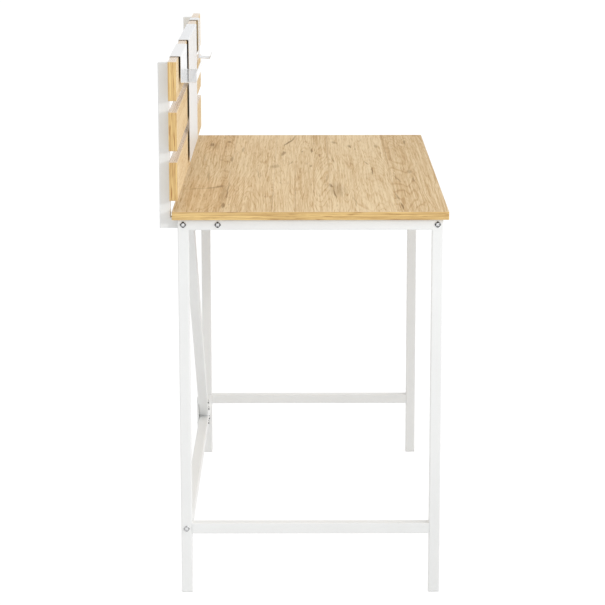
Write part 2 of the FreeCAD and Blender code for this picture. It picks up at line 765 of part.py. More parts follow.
def desktop_screw_points():
    """Where the top is screwed down: on both long rails and on both side frames."""
    points = [(on_side(sign, "Places.long_rail_screw_x"), y) for sign in SIDES.values()
              for y in ("Places.front_leg_y", "Places.rear_leg_y")]
    side_rows = [plus("Places.board_middle", on_side(end, "Places.side_screw_reach")) for end in SIDES.values()]
    points += [(on_side(sign, "Places.leg_x"), y) for sign in SIDES.values() for y in side_rows]
    return points


def desktop_screws():
    """Screws from below into the board, seated inside the rails on their top walls."""
    shank = plus("Sizes.tube_wall", "Sizes.wood_screw_bite")
    rows = [(x, y, shank) for x, y in desktop_screw_points()]
    fasteners(new_body("desktop_screws"), "z", "Places.rail_top - Sizes.tube_wall", 1, "wood_screw", rows)


# Folded sheet accessories

def folded(label, centre, width, profile):
    """Sheet folded along X; each profile row is (y, z, bend), bend "in", "out" or None."""
    body = new_body(label, (centre, "0", "0"))
    sketch = new_sketch(body, "YZ")
    outline(sketch, [(y, z) for y, z, bend in profile])
    sheet = pad(body, sketch, width, both_ways=True)
    radii = {"in": "Sizes.sheet_bend", "out": "Sizes.sheet_bend + Sizes.sheet_thickness"}
    for wanted_bend, radius in radii.items():
        corners = [(value(y), value(z)) for y, z, bend in profile if bend == wanted_bend]

        def at_bend(edge):
            point = edge.Vertexes[0].Point
            return runs_along(edge, "x") and any(near(point.y, y) and near(point.z, z) for y, z in corners)

        sheet = fillet(body, sheet, radius, at_bend)
    limit = 2 * value("Sizes.sheet_thickness")
    fillet(body, sheet, "Sizes.sheet_corner", lambda edge: runs_along(edge, "y") and edge.Length < limit)
    return keep(body)


def hanger(front_rows):
    """The fold over the slat's top, with front_rows between its front plate's two faces."""
    flange_end = "Places.hang_top - Sizes.hang_flange_drop"
    return ([("Places.hang_rear", flange_end, None), ("Places.hang_rear", "Places.hang_top", "out"),
             ("Places.hang_front", "Places.hang_top", "out")] + front_rows
            + [("Places.hang_front_inside", "Places.hang_under", "in"),
               ("Places.hang_rear_inside", "Places.hang_under", "in"),
               ("Places.hang_rear_inside", flange_end, None)])


def accessories():
    memo_end = "Places.hang_top - Sizes.memo_height"
    folded("memo_board", "Places.memo_centre", "Sizes.memo_width",
           hanger([("Places.hang_front", memo_end, None), ("Places.hang_front_inside", memo_end, None)]))

    floor_under = "Places.hang_top - Sizes.tray_height"
    floor_top = plus(floor_under, "Sizes.sheet_thickness")
    lip_inside = "Places.hang_front - Sizes.tray_inside_depth"
    lip_outside = plus(lip_inside, "-Sizes.sheet_thickness")
    lip_top = plus(floor_under, "Sizes.tray_lip_height")
    folded("pen_tray", "Places.tray_centre", "Sizes.tray_width",
           hanger([("Places.hang_front", floor_top, "in"), (lip_inside, floor_top, "in"),
                   (lip_inside, lip_top, None), (lip_outside, lip_top, None),
                   (lip_outside, floor_under, "out"), ("Places.hang_front_inside", floor_under, "out")]))

    arm_under = "Places.hang_top - Sizes.hook_height"
    arm_top = plus(arm_under, "Sizes.sheet_thickness")
    bend_inside = "Places.hang_front - Sizes.hook_reach"
    bend_outside = plus(bend_inside, "-Sizes.sheet_thickness")
    tip_inside = plus(bend_inside, "-Sizes.hook_tip_lean")
    tip_outside = plus(tip_inside, "-Sizes.sheet_thickness")
    bend_top = plus(arm_top, "-Sizes.hook_fall")
    bend_under = plus(arm_under, "-Sizes.hook_fall")
    tip_top = plus(bend_under, "Sizes.hook_tip_rise")
    folded("hook_plate", "Places.hook_centre", "Sizes.hook_width",
           hanger([("Places.hang_front", arm_top, "in"), (bend_inside, bend_top, "in"),
                   (tip_inside, tip_top, None), (tip_outside, tip_top, None),
                   (bend_outside, bend_under, "out"), ("Places.hang_front_inside", arm_under, "out")]))


# The whole desk

JOINTS_OF_BRACE = {
    # the point where the brace's middle line ends, and how its plate is turned there
    "lower": ("Places.brace_half_run", "Places.low_rail_top", "0"),
    "upper": ("-Places.brace_half_run", "Places.rail_under", "180"),
}


def build():
    for side, sign in SIDES.items():
        side_frame(side, sign)
        post(side, sign)
        frame_bolts(side, sign)
        slat_screws(side, sign)
    long_rails()
    nut_plates("front_rail_nut_plates", "Places.front_leg_y", "Places.rail_middle", "Places.frame_inside")
    nut_plates("rear_rail_nut_plates", "Places.rear_leg_y", "Places.rail_middle", "Places.post_inside")
    nut_plates("stretcher_nut_plates", "Places.rear_leg_y", "Places.low_rail_middle", "Places.frame_inside")
    brace()
    for level, (x, z, turn) in JOINTS_OF_BRACE.items():
        gusset(level + "_gusset", x, z, turn)
        gusset_fasteners(level, x, z, turn)
    desktop()
    desktop_screws()
    for name, level in SLAT_LEVELS.items():
        slat(name, level)
    post_foot_nuts()
    feet_and_caps()
    accessories()


def check_and_write():
    doc.recompute()
    for item in doc.Objects:
        if "Invalid" in item.State or "Error" in item.State:
            raise RuntimeError(item.Label + " failed: " + str(item.State))
    for piece in kept:
        shape = piece.Shape
        if shape.isNull() or not shape.isValid() or not shape.Solids:
            raise RuntimeError(piece.Label + " has no valid solid")
    for piece in kept:
        piece.Shape.exportStep("parts/" + piece.Label + ".step")


build()
check_and_write()
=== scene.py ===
import json
import math

import bmesh
import bpy
from mathutils import Matrix, Vector


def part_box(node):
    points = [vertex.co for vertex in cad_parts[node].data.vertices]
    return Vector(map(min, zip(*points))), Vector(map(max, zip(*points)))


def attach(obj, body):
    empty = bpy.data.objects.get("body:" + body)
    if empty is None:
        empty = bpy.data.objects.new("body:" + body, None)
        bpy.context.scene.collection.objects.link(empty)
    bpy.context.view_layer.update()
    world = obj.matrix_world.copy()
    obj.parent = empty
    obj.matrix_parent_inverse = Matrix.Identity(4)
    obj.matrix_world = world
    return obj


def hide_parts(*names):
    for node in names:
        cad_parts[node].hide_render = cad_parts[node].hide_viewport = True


# A writing desk of oak-faced board on a white square-tube frame, with a slatted back and
# three folded sheet accessories. Everything is in metres, in the frame of the solids.

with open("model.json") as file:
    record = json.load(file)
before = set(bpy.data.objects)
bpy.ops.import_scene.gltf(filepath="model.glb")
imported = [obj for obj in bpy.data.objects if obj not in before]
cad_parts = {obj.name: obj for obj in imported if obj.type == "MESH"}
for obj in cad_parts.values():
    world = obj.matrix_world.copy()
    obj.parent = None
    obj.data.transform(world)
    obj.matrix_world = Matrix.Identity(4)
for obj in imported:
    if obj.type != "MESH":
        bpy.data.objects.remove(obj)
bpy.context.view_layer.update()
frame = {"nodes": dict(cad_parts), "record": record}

MM = 0.001
SAME_PLACE = 0.01 * MM
# Decimals of a metre to which places and lengths are compared.
DECIMALS = 5
TUBE_ROUND = 2 * MM
DESK = "desk"
# The two side frames, each with the sense along X that leads inwards from its outer face.
SIDES = (("left", 1), ("right", -1))
AXES = {"x": Vector((1, 0, 0)), "y": Vector((0, 1, 0)), "z": Vector((0, 0, 1))}
UP = AXES["z"]


# Materials

class Look:
    """A node material with one principled shader, written with short calls."""

    def __init__(self, name, metallic=0.0, specular=0.5):
        self.material = bpy.data.materials.new(name)
        self.material.use_nodes = True
        self.nodes = self.material.node_tree.nodes
        self.links = self.material.node_tree.links
        self.nodes.clear()
        self.shader = self.nodes.new("ShaderNodeBsdfPrincipled")
        self.shader.inputs["Metallic"].default_value = metallic
        self.shader.inputs["Specular IOR Level"].default_value = specular
        output = self.nodes.new("ShaderNodeOutputMaterial")
        self.links.new(self.shader.outputs["BSDF"], output.inputs["Surface"])
        coordinates = self.nodes.new("ShaderNodeTexCoord")
        self.place = coordinates.outputs["Object"]
        self.facing = coordinates.outputs["Normal"]

    def put(self, socket, value):
        """Link a socket to another node's output, or set it to a number."""
        if isinstance(value, bpy.types.NodeSocket):
            self.links.new(value, socket)
        else:
            socket.default_value = value

    def math(self, operation, first, second=0.0, clamp=False):
        node = self.nodes.new("ShaderNodeMath")
        node.operation = operation
        node.use_clamp = clamp
        self.put(node.inputs[0], first)
        self.put(node.inputs[1], second)
        return node.outputs[0]

    def vector_math(self, operation, first, second=(0, 0, 0)):
        node = self.nodes.new("ShaderNodeVectorMath")
        node.operation = operation
        self.put(node.inputs[0], first)
        self.put(node.inputs[1], second)
        return node.outputs["Value" if operation == "LENGTH" else "Vector"]

    def split(self, vector):
        node = self.nodes.new("ShaderNodeSeparateXYZ")
        self.put(node.inputs[0], vector)
        return node.outputs

    def join(self, x, y, z):
        node = self.nodes.new("ShaderNodeCombineXYZ")
        for socket, value in zip(node.inputs, (x, y, z)):
            self.put(socket, value)
        return node.outputs[0]

    def noise(self, vector, waves, detail=2.0, roughness=0.5, distortion=0.0):
        """Noise from 0 to 1; waves are how many of them go into a metre along each axis."""
        node = self.nodes.new("ShaderNodeTexNoise")
        self.put(node.inputs["Vector"], self.vector_math("MULTIPLY", vector, waves))
        for socket, number in (("Scale", 1.0), ("Detail", detail), ("Roughness", roughness),
                               ("Distortion", distortion)):
            node.inputs[socket].default_value = number
        return node.outputs["Fac"]

    def remap(self, value, low, high, to_low=0.0, to_high=1.0):
        """A value that changes smoothly from to_low to to_high between low and high."""
        node = self.nodes.new("ShaderNodeMapRange")
        node.interpolation_type = "SMOOTHSTEP"
        for socket, number in zip(("Value", "From Min", "From Max", "To Min", "To Max"),
                                  (value, low, high, to_low, to_high)):
            self.put(node.inputs[socket], number)
        return node.outputs[0]

    def steps(self, value, rows):
        """A value that changes at once at each row's place; rows are (place, number)."""
        ramp = self.nodes.new("ShaderNodeValToRGB")
        ramp.color_ramp.interpolation = "CONSTANT"
        stops = ramp.color_ramp.elements
        while len(stops) < len(rows):
            stops.new(0.5)
        for stop, (place, number) in zip(stops, rows):
            stop.position = place
            stop.color = (number, number, number, 1)
        self.put(ramp.inputs[0], value)
        grey = self.nodes.new("ShaderNodeRGBToBW")
        self.put(grey.inputs[0], ramp.outputs["Color"])
        return grey.outputs[0]

    def swing(self, value, reach):
        """A value from 0 to 1 as one that swings to both sides of zero, over a reach."""
        return self.math("MULTIPLY", self.math("SUBTRACT", value, 0.5), reach)

    def stretch(self, value, low, width):
        """A value from 0 to 1 stretched over a width that starts at low."""
        return self.math("ADD", low, self.math("MULTIPLY", value, width))

    def total(self, *parts, clamp=False):
        """The sum of (value, share) pairs, none of them below zero."""
        first, *others = parts
        result = self.math("MULTIPLY", *first)
        for part in others:
            result = self.math("ADD", result, self.math("MULTIPLY", *part), clamp=clamp)
        return result

    def mix(self, share, first, second):
        """A colour between two others."""
        node = self.nodes.new("ShaderNodeMix")
        node.data_type = "RGBA"
        self.put(node.inputs[0], share)
        for socket, colour in ((node.inputs[6], first), (node.inputs[7], second)):
            self.put(socket, colour if isinstance(colour, bpy.types.NodeSocket) else (*colour, 1))
        return node.outputs[2]

    def finish(self, colour, roughness, height, relief):
        """Colour, roughness and relief of the surface; relief is in metres for a height of 1."""
        self.put(self.shader.inputs["Base Color"], colour)
        self.put(self.shader.inputs["Roughness"], roughness)
        bump = self.nodes.new("ShaderNodeBump")
        bump.inputs["Strength"].default_value = 1.0
        bump.inputs["Distance"].default_value = relief
        self.put(bump.inputs["Height"], height)
        self.links.new(bump.outputs[0], self.shader.inputs["Normal"])
        return self.material


OAK_LIGHT = (0.765, 0.598, 0.365)
OAK_MID = (0.520, 0.332, 0.140)
# The slats' oak is the top's oak made paler: painted light for the light on the slat faces.
SLAT_PALE_PAINTED_LIGHT = (0.805, 0.655, 0.435)
SLAT_MID_PAINTED_LIGHT = (0.590, 0.395, 0.190)
OAK_DARK = (0.360, 0.205, 0.085)
OAK_KNOT = (0.255, 0.142, 0.036)

# Where each plank of the print starts across the grain, and how dark it is. The print
# starts at PRINT_LOW and is PRINT_WIDTH wide.
PRINT_WIDTH = 1.6
PRINT_LOW = -0.3
PLANKS = ((-0.3000, 0.52), (-0.1724, 0.23), (-0.0509, 0.36), (0.0161, 0.26), (0.0581, 0.32),
          (0.1456, 0.50), (0.2405, 0.14), (0.3300, 0.24), (0.4200, 0.08))
# How far each plank's own grain is moved along X and across, for a darkness of 1.
PLANK_MOVES = (5.3, 1.7)

# The lines between planks: half width of their dark core, where they have faded, and depth.
JOINT_CORE = 0.3 * MM
JOINT_FADE = 1.5 * MM
JOINT_DEPTH = 0.6

# A noise here is: waves in a metre along X, across and in depth, then detail, roughness
# and distortion where they differ from the usual ones.
WANDER = ((2.2, 9, 1), 2)
WANDER_REACH = 0.012
RING_HILLS = ((0.8, 11, 1), 2.5, 0.40)
RING_COUNT = 250
RING_SPAN = (0.50, 1.0)
# Each layer of the print: its noise, and between which of its values it sets in.
LAYERS = {
    "clouds": (((1.3, 14, 1), 3, 0.55), (0.25, 0.75)),
    "fibres": (((6, 330, 1), 3, 0.62, 0.15), (0.38, 0.62)),
    "streaks": (((2.2, 130, 1), 3, 0.60), (0.33, 0.67)),
    "threads": (((28, 700, 1), 3, 0.60), (0.30, 0.70)),
    "ring_place": (((1.6, 8, 1), 1), (0.36, 0.54)),
    "pores": (((18, 400, 1), 2, 0.50, 0.4), (0.56, 0.70)),
    "specks": (((17, 190, 1), 2), (0.62, 0.78)),
}
# How much a plank's own darkness and each layer darken the wood.
PLANK_SHARE = 0.80
LAYER_SHARES = {"clouds": 0.22, "fibres": 0.36, "streaks": 0.24, "threads": 0.28,
                "rings": 0.32, "pores": 0.44}
# The sum at which the palest wood starts, how steeply it darkens, how dark the specks are,
# and from and up to which tone the wood goes on to its darkest, from and to which share.
TONE_START = 0.545
TONE_SLOPE = 1.2
SPECK_DEPTH = 0.55
DEEP_TONES = (0.80, 1.5, 0.0, 0.6)

PRINT_RELIEF = 0.05 * MM
FIBRE_HEIGHT = 0.5
# The lowest roughness and the width of its range.
PRINT_ROUGHNESS = (0.54, 0.12)

# Knots and cracks of the print: place along and across the grain, half length and half
# width in millimetres, turn in degrees and depth of tone.
MARKS = (
    (-440, -179.9, 42, 1.6, 1.4, 0.95),
    (-335, -175.9, 45, 1.3, 3.0, 0.60),
    (-295, -58.9, 58, 1.8, 1.6, 0.80),
    (-205, -52.9, 26, 3.0, 5.0, 0.85),
    (-250, -64.9, 90, 13.0, 2.0, 0.30),
    (-300, -72.9, 40, 1.2, -2.0, 0.45),
    (-430, 148.0, 34, 2.8, 0.0, 0.85),
    (-260, 144.1, 115, 1.4, 0.0, 0.60),
    (-300, 151.0, 120, 5.0, 0.0, 0.22),
    (-208, 157.0, 15, 4.5, 0.0, 0.40),
    (-216, 162.0, 8, 12.0, 52.0, 0.55),
    (-230, 177.0, 6.5, 9.0, 24.0, 0.60),
    (-240, 206.0, 6, 21.0, 16.0, 0.28),
    (-20, -136.9, 52, 1.5, -1.5, 0.80),
    (85, -128.9, 30, 1.3, 9.0, 0.60),
    (45, -14.9, 14, 2.0, 0.0, 0.75),
    (40, 58.1, 26, 9.0, -6.0, 0.35),
    (88, 26.1, 26, 2.2, -9.0, 0.40),
    (215, 43.1, 34, 4.2, -4.0, 0.55),
    (235, 40.1, 18, 2.0, 8.0, 0.60),
    (265, -16.9, 34, 2.2, 0.0, 0.75),
    (245, 3.1, 16, 1.6, 0.0, 0.60),
    (320, -98.9, 24, 2.6, 2.0, 0.80),
    (390, 31.1, 62, 2.2, -11.0, 0.90),
    (455, 21.1, 36, 1.8, -4.0, 0.60),
    (350, 196.1, 30, 3.8, 2.0, 0.80),
    (330, 191.1, 55, 9.0, 3.0, 0.25),
    (392, 161.1, 14, 3.0, 0.0, 0.60),
    (455, 173.1, 16, 1.8, 0.0, 0.60),
    (385, -218.9, 34, 2.2, 0.0, 0.55),
    (-130, -214.9, 34, 1.6, 0.0, 0.45),
    (-115, -182.9, 46, 1.8, 9.0, 0.50),
    (280, 128.1, 44, 1.8, 0.0, 0.45),
    (140, 148.1, 42, 2.6, 0.0, 0.50),
    (380, -65.9, 22, 5.0, 12.0, 0.45),
    (-95, 188.1, 60, 1.8, 2.0, 0.40),
    (-30, -211.9, 26, 4.0, 0.0, 0.40),
    (322, -155.9, 26, 4.0, 0.0, 0.35),
    (-385, -95.0, 70, 1.2, 3.0, 0.35),
    (-120, -45.0, 60, 1.2, -3.0, 0.35),
    (130, -60.0, 50, 1.4, 4.0, 0.40),
    (-350, 60.0, 70, 1.2, -4.0, 0.30),
    (-60, 90.0, 60, 1.3, 3.0, 0.35),
    (160, 205.0, 50, 1.4, 2.0, 0.40),
)
# How much wider than listed the marks are, where each fades as a share of its half sizes,
# how the fibres break it up, and how its outline sways.
MARK_WIDTH = 1.35
MARK_FADE = (0.35, 1.25)
MARK_BREAKS = (0.35, 0.50, 0.55, 1.25)
MARK_SWAY = ((22, 60, 1), 3)
MARK_SWAY_REACH = 0.007


def oak_face(name, light, mid, contrast, gloss):
    """Oak print of the board faces: planks, rings, fibres, pores, knots and cracks along X."""
    look = Look(name, specular=gloss)
    x, y, z = look.split(look.place)
    # The flat top varies along Y and the upright slats along Z, so their sum runs across both.
    across = look.math("ADD", y, look.math("SUBTRACT", z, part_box("desktop")[1].z))
    wander = look.noise(look.join(x, across, 0), *WANDER)
    flat = look.join(x, look.math("ADD", across, look.swing(wander, WANDER_REACH)), 0)

    on_print = look.math("DIVIDE", look.math("SUBTRACT", across, PRINT_LOW), PRINT_WIDTH)
    plank = look.steps(on_print, [((start - PRINT_LOW) / PRINT_WIDTH, tone)
                                  for start, tone in PLANKS])
    moves = [look.math("MULTIPLY", plank, move) for move in PLANK_MOVES]
    own_grain = look.vector_math("ADD", flat, look.join(*moves, plank))

    noises = {layer: look.noise(own_grain, *noise) for layer, (noise, _) in LAYERS.items()}
    layers = {layer: look.remap(noises[layer], *span) for layer, (_, span) in LAYERS.items()}
    hills = look.math("MULTIPLY", look.noise(own_grain, *RING_HILLS), RING_COUNT)
    rings = look.remap(look.math("SINE", hills), *RING_SPAN)
    layers["rings"] = look.math("MULTIPLY", rings, layers["ring_place"])

    tone = look.total((plank, PLANK_SHARE), *((layers[layer], share)
                                              for layer, share in LAYER_SHARES.items()))
    tone = look.math("MULTIPLY", look.math("SUBTRACT", tone, TONE_START), TONE_SLOPE * contrast)
    colour = look.mix(look.math("ADD", tone, 0.0, clamp=True), light, mid)
    deep = look.math("ADD", look.math("MULTIPLY", layers["specks"], SPECK_DEPTH * contrast),
                     look.remap(tone, *DEEP_TONES), clamp=True)
    colour = look.mix(deep, colour, OAK_DARK)

    for start, _ in PLANKS[1:]:
        off_joint = look.math("ABSOLUTE", look.math("SUBTRACT", across, start))
        line = look.remap(off_joint, JOINT_CORE, JOINT_FADE, JOINT_DEPTH, 0.0)
        colour = look.mix(look.math("MULTIPLY", line, layers["clouds"]), colour, OAK_DARK)

    sway = look.swing(look.noise(flat, *MARK_SWAY), MARK_SWAY_REACH)
    swayed = look.join(x, look.math("ADD", across, sway), 0)
    marks = None
    for along_mm, across_mm, half_length, half_width, turn, depth in MARKS:
        spot = look.nodes.new("ShaderNodeMapping")
        spot.vector_type = "TEXTURE"
        half_sizes = (half_length * MM, MARK_WIDTH * half_width * MM, 1)
        spot.inputs["Location"].default_value = (along_mm * MM, across_mm * MM, 0)
        spot.inputs["Rotation"].default_value = (0, 0, math.radians(turn))
        spot.inputs["Scale"].default_value = half_sizes
        look.put(spot.inputs["Vector"], swayed)
        off_spot = look.vector_math("LENGTH", spot.outputs[0])
        mark = look.remap(off_spot, *MARK_FADE, depth, 0.0)
        marks = mark if marks is None else look.math("MAXIMUM", marks, mark)
    breaks = look.remap(noises["fibres"], *MARK_BREAKS)
    colour = look.mix(look.math("MULTIPLY", marks, breaks, clamp=True), colour, OAK_KNOT)

    height = look.math("SUBTRACT", look.math("MULTIPLY", noises["fibres"], FIBRE_HEIGHT),
                       layers["pores"])
    return look.finish(colour, look.stretch(noises["fibres"], *PRINT_ROUGHNESS), height,
                       PRINT_RELIEF)


EDGE_LIGHT = (0.825, 0.585, 0.240)
EDGE_DARK = (0.400, 0.215, 0.062)
# The slats' band colours are the board's edge colours retuned for the light on the slat ends:
# painted light.
SLAT_EDGE_PALE_PAINTED_LIGHT = (0.845, 0.612, 0.258)
SLAT_EDGE_DARK_PAINTED_LIGHT = (0.400, 0.185, 0.045)
# The pale tone of the painted sheen on the level faces of the edge bands.
EDGE_PAINTED_SHEEN = (0.720, 0.600, 0.480)
EDGE_WANDER = ((7, 60, 1), 2)
EDGE_WANDER_REACH = 0.004
# Lines, bands and short dashes along the edge: noise, between which of its values they set
# in, and how much they darken.
EDGE_LAYERS = (
    (((8, 420, 0.3), 4, 0.65), (0.40, 0.60), 0.54),
    (((2.5, 130, 0.3), 2), (0.36, 0.64), 0.18),
    (((26, 520, 0.3), 2), (0.56, 0.68), 0.70),
)
# How level a face has to be to take the pale painted sheen, and how strong the sheen gets.
EDGE_SHEEN_SPAN = (0.6, 0.95, 0.0, 0.8)
EDGE_ROUGHNESS = (0.22, 0.14)
EDGE_RELIEF = 0.008 * MM


def oak_edge(name, across_axis, light, dark):
    """Golden edge band, dark lines along its length, a painted sheen on its level faces;
    across_axis is its width's axis.
    """
    look = Look(name)
    x, y, z = look.split(look.place)
    if across_axis == "z":
        across, along = z, look.math("ADD", x, y)
    else:
        across, along = y, look.math("ADD", x, z)
    wander = look.noise(look.join(along, across, 0), *EDGE_WANDER)
    bent = look.math("ADD", across, look.swing(wander, EDGE_WANDER_REACH))
    flat = look.join(along, bent, look.math("ADD", x, y))
    tone = look.total(*((look.remap(look.noise(flat, *noise), *span), share)
                        for noise, span, share in EDGE_LAYERS), clamp=True)
    level = look.math("ABSOLUTE", look.split(look.facing)[2])
    colour = look.mix(tone, light, dark)
    # Level faces turn pale: a painted sheen.
    colour = look.mix(look.remap(level, *EDGE_SHEEN_SPAN), colour, EDGE_PAINTED_SHEEN)
    return look.finish(colour, look.stretch(tone, *EDGE_ROUGHNESS),
                       look.math("MULTIPLY", tone, -1.0), EDGE_RELIEF)


# Where a paint's clouds and a plating's blotches set in and are full.
TONE_SPAN = (0.3, 0.7)
COAT_CLOUDS = ((9, 9, 9), 3)
CLOUD_SHARE = 0.7
SKIN_SHARE = 0.3
COAT_SPREAD = 0.06


def coated(name, light, dark, roughness, grain, relief, gloss=0.5):
    """Painted or moulded white surface: faint clouds of tone and a fine-grained skin."""
    look = Look(name, specular=gloss)
    clouds = look.remap(look.noise(look.place, *COAT_CLOUDS), *TONE_SPAN)
    skin = look.noise(look.place, (grain, grain, grain), detail=2, roughness=0.55)
    tone = look.total((clouds, CLOUD_SHARE), (skin, SKIN_SHARE))
    rough = look.stretch(skin, roughness - COAT_SPREAD / 2, COAT_SPREAD)
    return look.finish(look.mix(tone, dark, light), rough, skin, relief)


ZINC_BLOTCHES = ((900, 900, 900), 3, 0.6)
ZINC_SCRATCHES = ((2600, 700, 1900), 2)
BLOTCH_SHARE = 0.6
SCRATCH_SHARE = 0.4
ZINC_SPREAD = 0.2
ZINC_RELIEF = 0.01 * MM


def zinc(name, light, dark, roughness, metallic):
    """Plated steel with fine blotches of tone and roughness."""
    look = Look(name, metallic=metallic)
    blotches = look.noise(look.place, *ZINC_BLOTCHES)
    scratches = look.noise(look.place, *ZINC_SCRATCHES)
    tone = look.total((blotches, BLOTCH_SHARE), (scratches, SCRATCH_SHARE))
    tone = look.remap(tone, *TONE_SPAN)
    rough = look.stretch(blotches, roughness - 0.4 * ZINC_SPREAD, ZINC_SPREAD)
    return look.finish(look.mix(tone, dark, light), rough, scratches, ZINC_RELIEF)


OAK = oak_face("oak_face", OAK_LIGHT, OAK_MID, contrast=1.0, gloss=0.22)
# A paler copy of the top's oak for the slats, with painted light.
OAK_SLATS_PAINTED_LIGHT = oak_face("oak_face_slats_painted_light", SLAT_PALE_PAINTED_LIGHT, SLAT_MID_PAINTED_LIGHT, contrast=0.7, gloss=0.0)
BOARD_EDGE = oak_edge("oak_edge_board", "z", EDGE_LIGHT, EDGE_DARK)
# A copy of the edge band for the slats, with painted light.
SLAT_EDGE_PAINTED_LIGHT = oak_edge("oak_edge_slat_painted_light", "y", SLAT_EDGE_PALE_PAINTED_LIGHT, SLAT_EDGE_DARK_PAINTED_LIGHT)
POWDER = coated("white_frame", (0.850, 0.858, 0.852), (0.820, 0.827, 0.820),
                roughness=0.42, grain=950, relief=0.012 * MM)
SHEET = coated("white_sheet", (0.765, 0.769, 0.772), (0.753, 0.757, 0.760),
               roughness=0.07, grain=300, relief=0.001 * MM, gloss=0.12)
SHEET_SATIN = coated("white_sheet_satin", (0.795, 0.805, 0.820), (0.783, 0.793, 0.808),
                     roughness=0.34, grain=300, relief=0.001 * MM, gloss=0.12)
PLASTIC = coated("white_plastic", (0.79, 0.795, 0.785), (0.76, 0.765, 0.755),
                 roughness=0.50, grain=1500, relief=0.02 * MM)
ZINC = zinc("zinc_bright", (0.90, 0.905, 0.91), (0.80, 0.81, 0.82),
            roughness=0.34, metallic=0.7)
# Near-black zinc for the painted shade on the screw heads, and a grey zinc for the paler painted
# shade on the low frame bolts.
ZINC_PAINTED_SHADE = zinc("zinc_painted_shade", (0.130, 0.130, 0.135), (0.06, 0.06, 0.064),
                 roughness=0.42, metallic=0.9)
ZINC_PAINTED_PALE_SHADE = zinc("zinc_painted_pale_shade", (0.44, 0.44, 0.445), (0.34, 0.34, 0.345),
                 roughness=0.42, metallic=0.3)

LOOKS_BY_SLOT = {
    "white_frame": POWDER,
    "white_sheet": SHEET,
    "white_plastic": PLASTIC,
    "zinc_steel": ZINC,
}


def paint_nodes():
    """Give each solid of the frame the look of its material slot."""
    slots = {part["node"]: part["material_slot"] for part in frame["record"]["subparts"]}
    for name, node in frame["nodes"].items():
        slot = slots[name]
        if slot == "oak_edge":
            # The slats' bands get the copy of the edge band with painted light.
            look = BOARD_EDGE if name.startswith("desktop") else SLAT_EDGE_PAINTED_LIGHT
        elif slot == "oak_face":
            # The slats get the paler copy of the oak with painted light.
            look = OAK if name == "desktop" else OAK_SLATS_PAINTED_LIGHT
        else:
            look = LOOKS_BY_SLOT[slot]
        node.data.materials.clear()
        node.data.materials.append(look)


# Mesh helpers

def put_in_scene(name, data):
    """A new object of a mesh, a light or a camera."""
    thing = bpy.data.objects.new(name, data)
    bpy.context.scene.collection.objects.link(thing)
    return thing


def mesh_object(name, mesh):
    """A finished bmesh as an object."""
    data = bpy.data.meshes.new(name)
    mesh.normal_update()
    mesh.to_mesh(data)
    mesh.free()
    return put_in_scene(name, data)


def new_piece(name, mesh, body=DESK, looks=(), smooth_angle=35):
    """A finished bmesh as an object that rides on a body."""
    piece = mesh_object(name, mesh)
    for look in looks:
        piece.data.materials.append(look)
    smooth_by_angle(piece.data, smooth_angle)
    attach(piece, body)
    return piece


def smooth_by_angle(data, degrees):
    """Smooth faces that meet at less than an angle, and keep sharper edges crisp."""
    mesh = bmesh.new()
    mesh.from_mesh(data)
    limit = math.radians(degrees)
    for face in mesh.faces:
        face.smooth = True
    for edge in mesh.edges:
        edge.smooth = len(edge.link_faces) == 2 and edge.calc_face_angle(0.0) < limit
    mesh.to_mesh(data)
    mesh.free()


def keep_flats_flat(piece):
    """Let the wide faces beside a rounded edge shade as flat."""
    normals = piece.modifiers.new("flat_faces", "WEIGHTED_NORMAL")
    normals.weight = 100
    normals.keep_sharp = True


def solids_of(node):
    """The lowest and highest corner of each separate solid of a CAD node, in order of place."""
    mesh = bmesh.new()
    mesh.from_mesh(frame["nodes"][node].data)
    bmesh.ops.remove_doubles(mesh, verts=mesh.verts, dist=SAME_PLACE)
    left = set(mesh.verts)
    corners = []
    while left:
        group = [left.pop()]
        for vertex in group:
            for edge in vertex.link_edges:
                other = edge.other_vert(vertex)
                if other in left:
                    left.remove(other)
                    group.append(other)
        corners.append(tuple(Vector(pick(vertex.co[axis] for vertex in group)
                                    for axis in range(3)) for pick in (min, max)))
    mesh.free()
    return sorted(corners, key=lambda box: tuple(round(number, DECIMALS) for number in box[0]))


def lathe(mesh, rings, capped=False):
    """Join rings, each a list of as many points, into a skin, closed at its ends if capped."""
    rows = [[mesh.verts.new(point) for point in points] for points in rings]
    count = len(rows[0])
    for low, high in zip(rows, rows[1:]):
        for at in range(count):
            after = (at + 1) % count
            mesh.faces.new((low[at], low[after], high[after], high[at]))
    if capped:
        mesh.faces.new(list(reversed(rows[0])))
        mesh.faces.new(rows[-1])


def ring(radius, z, count):
    """Points of a circle round the Z axis."""
    return [Vector((radius * math.cos(math.tau * at / count),
                    radius * math.sin(math.tau * at / count), z)) for at in range(count)]


# Screws, bolts and nuts

# Material slots of a screw: its bright zinc, its painted shade, and a paler painted shade.
BRIGHT, PAINTED_SHADE_SLOT, PAINTED_PALE_SHADE_SLOT = 0, 1, 2
SCREW_LOOKS = (ZINC, ZINC_PAINTED_SHADE, ZINC_PAINTED_PALE_SHADE)
HEAD_SIDES = 40
SHANK_SIDES = HEAD_SIDES // 2
# Outline of a pan head from its seat up: shares of its radius and of its height.
HEAD_PROFILE = ((0.94, 0.0), (1.0, 0.06), (1.0, 0.30), (0.97, 0.50), (0.89, 0.70),
                (0.76, 0.86), (0.58, 0.95), (0.34, 0.99))
# Radius at a screw's tip and in its thread's grooves, as shares of the shank's.
TIP_SHARE = 0.55
GROOVE_SHARE = 0.84
# The cross recess: its reach as a share of the head's radius, its depth and its cutter's top
# as shares of the head's height, and the half width of its arms as a share of its reach.
# RECESS_FLOOR is the reach of its floor as a share of that of its mouth.
RECESS_REACH = 0.80
RECESS_DEPTH = 0.6
RECESS_TOP = 1.02
RECESS_ARM = 0.17
RECESS_FLOOR = 0.42
